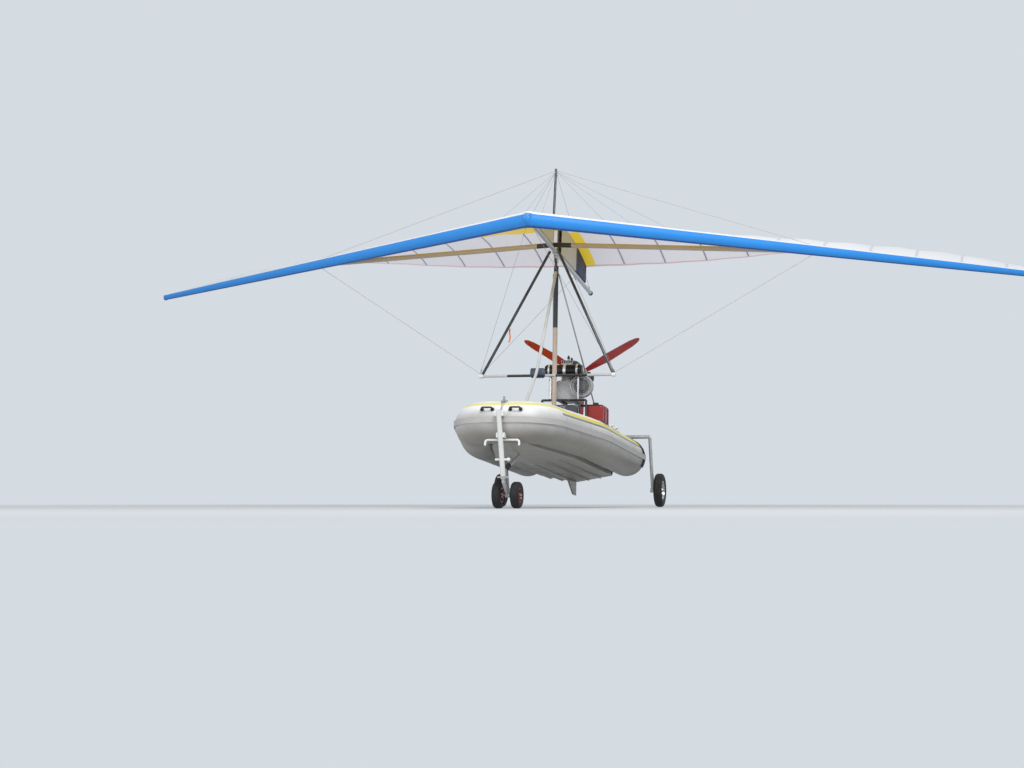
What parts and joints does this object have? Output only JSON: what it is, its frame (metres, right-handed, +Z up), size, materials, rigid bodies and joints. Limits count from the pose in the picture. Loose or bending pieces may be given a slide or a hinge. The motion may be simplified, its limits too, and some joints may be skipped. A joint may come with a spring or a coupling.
{
  "type": "flying inflatable boat with weight-shift wing",
  "caption": "Blunt-bowed inflatable boat under a delta wing on a mast, with a pusher propeller and wheels at bow and stern.",
  "frame": {"origin": "on the floor, under the middle of the aircraft's bounding box", "axes": "+Z up, bow and flight direction along -Y, port along +X, wing span along X"},
  "size_m": [11, 4.6544, 3.8837],
  "materials": {
    "collar_fabric": "satin coated fabric",
    "strake_rubber": "matt",
    "hull_gelcoat": "gloss",
    "deck_board": "matt non-slip",
    "white_enamel": "gloss",
    "grey_steel": "satin",
    "black_enamel": "satin",
    "stainless": "brushed",
    "tube_alloy": "satin",
    "tan_tube": "satin",
    "black_plastic": "matt",
    "pod_plastic": "gloss",
    "seat_cloth": "woven",
    "cast_engine": "as cast",
    "fan_cover": "satin",
    "exhaust_steel": "heat tinted",
    "tank_plastic": "translucent gloss",
    "propeller_red": "gloss",
    "tyre_rubber": "matt",
    "red_rim": "gloss",
    "grey_rim": "satin",
    "edge_cloth": "woven",
    "sail_cloth": "woven, slightly glossy",
    "pocket_cloth": "woven",
    "wire_steel": "stranded"
  },
  "bodies": {
    "hull": {"air_collar": "collar_fabric", "rub_strake": "strake_rubber", "hull_bottom": "hull_gelcoat", "deck": "deck_board", "transom": "hull_gelcoat", "skeg": "hull_gelcoat", "bow_handles": "black_plastic", "bow_rail": "white_enamel", "tube_fittings": "white_enamel", "nose_head_tube": "white_enamel", "nose_drag_strut": "black_enamel", "tow_eye": "stainless", "stern_eyes": "stainless", "gear_beam": "grey_steel", "gear_legs": "grey_steel", "floor_beam": "tube_alloy", "mast": "tan_tube", "front_strut": "tube_alloy", "rear_stays": "tube_alloy", "front_seat": "seat_cloth", "rear_seat": "seat_cloth", "instrument_pod": "pod_plastic", "seat_stands": "tube_alloy", "exhaust_pipes": "exhaust_steel", "engine_mount": "tube_alloy", "crankcase": "cast_engine", "cylinders": "cast_engine", "cooling_shroud": "black_plastic", "carburettors": "black_plastic", "fan_housing": "fan_cover", "muffler": "exhaust_steel", "reduction_drive": "black_enamel", "fuel_tank": "tank_plastic"},
    "nose_fork": {"nose_fork": "white_enamel"},
    "nose_wheels": {"nose_tyres": "tyre_rubber", "nose_rims": "red_rim"},
    "main_wheel_port": {"main_tyre_port": "tyre_rubber", "main_rim_port": "grey_rim"},
    "main_wheel_starboard": {"main_tyre_starboard": "tyre_rubber", "main_rim_starboard": "grey_rim"},
    "propeller": {"propeller_hub": "black_enamel", "propeller_blades": "propeller_red"},
    "hang_block": {"hang_block": "stainless"},
    "wing": {"keel_tube": "tube_alloy", "nose_plate": "stainless", "leading_edge_port": "edge_cloth", "leading_edge_starboard": "edge_cloth", "sail_port": "sail_cloth", "sail_starboard": "sail_cloth", "keel_pocket": "pocket_cloth", "crossbar": "tan_tube", "king_post": "black_enamel", "uprights": "black_enamel", "corner_fittings": "white_enamel", "base_bar": "black_enamel", "side_wires": "wire_steel"}
  },
  "joints": [
    {"name": "nose_steering", "type": "hinge", "parent": "hull", "child": "nose_fork", "pos_m": [0, -2.25156, 0.82228], "axis": [0, -0.2659, 0.964], "range_deg": [-25, 25]},
    {"name": "nose_wheels_spin", "type": "hinge", "parent": "nose_fork", "child": "nose_wheels", "pos_m": [0, -1.92331, 0.14], "axis": [1, 0, 0], "continuous": true},
    {"name": "main_wheel_port_spin", "type": "hinge", "parent": "hull", "child": "main_wheel_port", "pos_m": [0.97, 1.61354, 0.2], "axis": [1, 0, 0], "continuous": true},
    {"name": "main_wheel_starboard_spin", "type": "hinge", "parent": "hull", "child": "main_wheel_starboard", "pos_m": [-0.97, 1.61354, 0.2], "axis": [1, 0, 0], "continuous": true},
    {"name": "propeller_spin", "type": "hinge", "parent": "hull", "child": "propeller", "pos_m": [0, 1.69619, 1.6079], "axis": [0, 0.9968, -0.0798], "continuous": true},
    {"name": "wing_pitch", "type": "hinge", "parent": "hull", "child": "hang_block", "pos_m": [0, 0.35936, 2.8285], "axis": [1, 0, 0], "range_deg": [-8, 4]},
    {"name": "wing_roll", "type": "hinge", "parent": "hang_block", "child": "wing", "pos_m": [0, 0.37309, 2.91745], "axis": [0, 0.9883, -0.1526], "range_deg": [-20, 20]}
  ]
}
